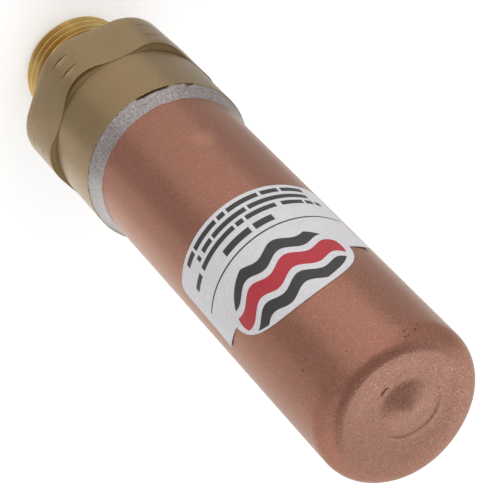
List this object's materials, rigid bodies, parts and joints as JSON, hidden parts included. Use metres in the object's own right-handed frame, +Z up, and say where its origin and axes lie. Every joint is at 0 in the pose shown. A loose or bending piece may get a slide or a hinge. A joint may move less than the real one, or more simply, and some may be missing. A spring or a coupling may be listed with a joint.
{
  "type": "water hammer arrestor",
  "caption": "Water hammer arrestor: copper air barrel with a spun closed end, soldered into a brass hexagon fitting with a male taper pipe thread, and a sealed piston sliding inside.",
  "frame": {"origin": "centre of the male thread's end face, at the bottom of the part", "axes": "+Z up the axis from the thread to the closed end; a corner of the hexagon points to -Y, the front, and two of its flats face +X and -X"},
  "size_m": [0.0316, 0.0338, 0.1282],
  "materials": {
    "brass": "turned and dull, brighter on the thread",
    "solder": "grainy, as run",
    "copper": "fine matte",
    "acetal": "moulded, satin",
    "seal_rubber": "greased",
    "label_paper": "coated, printed"
  },
  "bodies": {
    "shell": {"hex_fitting": "brass", "solder_ring": "solder", "barrel": "copper", "label": "label_paper"},
    "piston": {"piston": "acetal", "lower_o_ring": "seal_rubber", "upper_o_ring": "seal_rubber"}
  },
  "joints": [
    {"name": "piston_slide", "type": "slide", "parent": "shell", "child": "piston", "axis": [0, 0, 1], "range_m": [0, 0.06], "stiffness_N_per_m": 3500}
  ]
}
